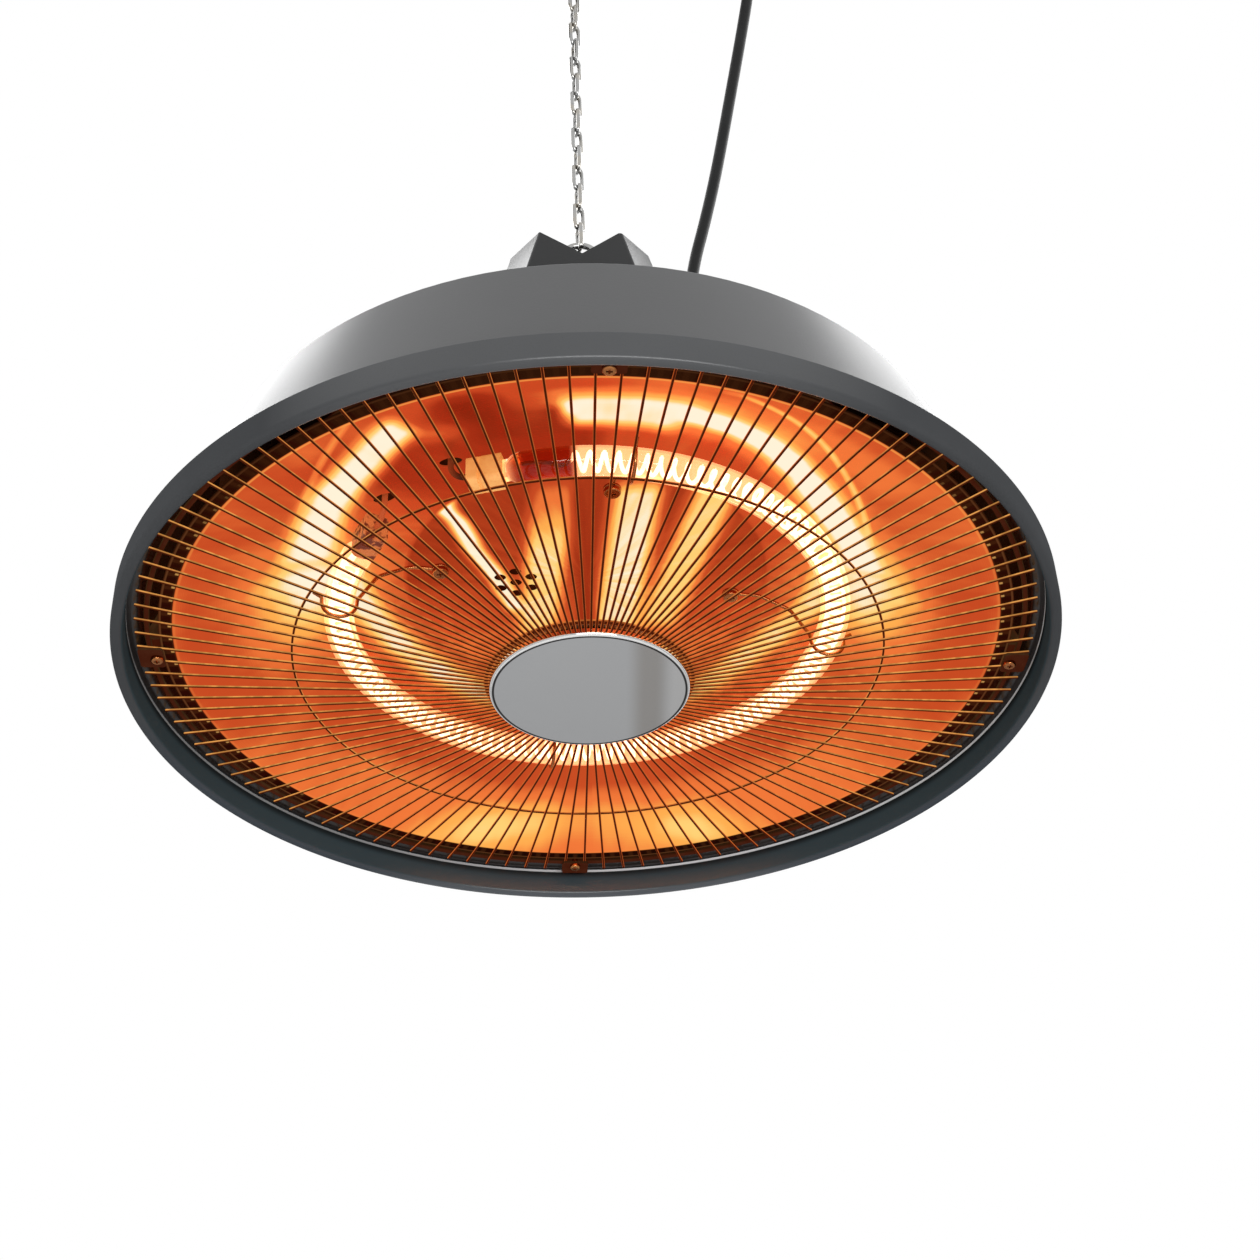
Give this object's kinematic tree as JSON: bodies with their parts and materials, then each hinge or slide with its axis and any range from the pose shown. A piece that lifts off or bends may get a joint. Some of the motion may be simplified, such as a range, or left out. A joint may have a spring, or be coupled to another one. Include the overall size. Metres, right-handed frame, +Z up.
{
  "type": "hanging infrared patio heater",
  "caption": "Hanging round patio heater with a ring lamp in a polished reflector behind a wire guard, on a chain with a snap hook, with a coiled power cord.",
  "frame": {"origin": "the bearing point inside the snap hook's upper bow, where the heater hangs", "axes": "+Z up along the chain, -Y towards the picture's camera, +X to its right; the cord rises on the +X side"},
  "size_m": [0.4299, 0.43, 0.664],
  "materials": {
    "powder_coat": "satin dark grey powder coat",
    "bright_steel": "zinc plated, bright",
    "mirror_sheet": "polished aluminium sheet",
    "shield_sheet": "plain galvanised sheet",
    "disc_chrome": "mirror polished",
    "guard_wire": "bright wire with a warm tint",
    "clip_wire": "bright spring wire",
    "quartz": "clear fused quartz",
    "filament": "glowing resistance wire",
    "ceramic": "unglazed white ceramic",
    "cord_rubber": "matt black rubber sheath",
    "pin_brass": "nickel plated brass",
    "black_nylon": "matt black nylon"
  },
  "bodies": {
    "hook": {"hook_body": "bright_steel", "gate_pin": "bright_steel"},
    "gate": {"hook_gate": "bright_steel"},
    "hanging_chain": {"chain": "bright_steel", "cord_tie": "black_nylon", "power_cord_coil": "cord_rubber", "plug_body": "cord_rubber", "plug_pins": "pin_brass"},
    "heater": {"rim_channel": "powder_coat", "shade": "powder_coat", "crown_left": "powder_coat", "crown_right": "powder_coat", "crown_foot_screws": "powder_coat", "eye_bridge": "powder_coat", "eye_bolt": "bright_steel", "eye_nuts": "bright_steel", "reflector": "mirror_sheet", "heat_shield": "shield_sheet", "reflector_standoffs": "bright_steel", "shield_posts": "bright_steel", "post_screws": "bright_steel", "lamp_tube": "quartz", "lamp_filament": "filament", "lamp_end_caps": "ceramic", "lamp_leads": "cord_rubber", "lamp_clips": "clip_wire", "lamp_clip_screws": "bright_steel", "guard_spokes": "guard_wire", "guard_inner_ring": "guard_wire", "guard_mid_ring": "guard_wire", "guard_outer_ring": "guard_wire", "guard_disc": "disc_chrome", "guard_disc_back": "shield_sheet", "guard_brackets": "guard_wire", "guard_clips": "guard_wire", "guard_clip_screws": "bright_steel", "terminal_block": "ceramic", "inner_cable": "cord_rubber", "gland_body": "black_nylon", "gland_nut": "black_nylon", "gland_cap": "black_nylon", "cord_boot": "black_nylon", "power_cord_riser": "cord_rubber"}
  },
  "joints": [
    {"name": "gate_hinge", "type": "hinge", "parent": "hook", "child": "gate", "pos_m": [0.00713, 0.00232, -0.0275], "axis": [0.309, -0.9511, 0], "range_deg": [0, 25], "stiffness_Nm_per_rad": 0.01},
    {"name": "chain_swing", "type": "hinge", "parent": "hook", "child": "hanging_chain", "pos_m": [0, 0, -0.03958], "axis": [-0.309, 0.9511, 0], "range_deg": [-20, 20]},
    {"name": "heater_tilt", "type": "hinge", "parent": "hanging_chain", "child": "heater", "pos_m": [0, 0, -0.36875], "axis": [1, 0, 0], "range_deg": [-15, 15], "deforming": ["power_cord_riser"]}
  ]
}
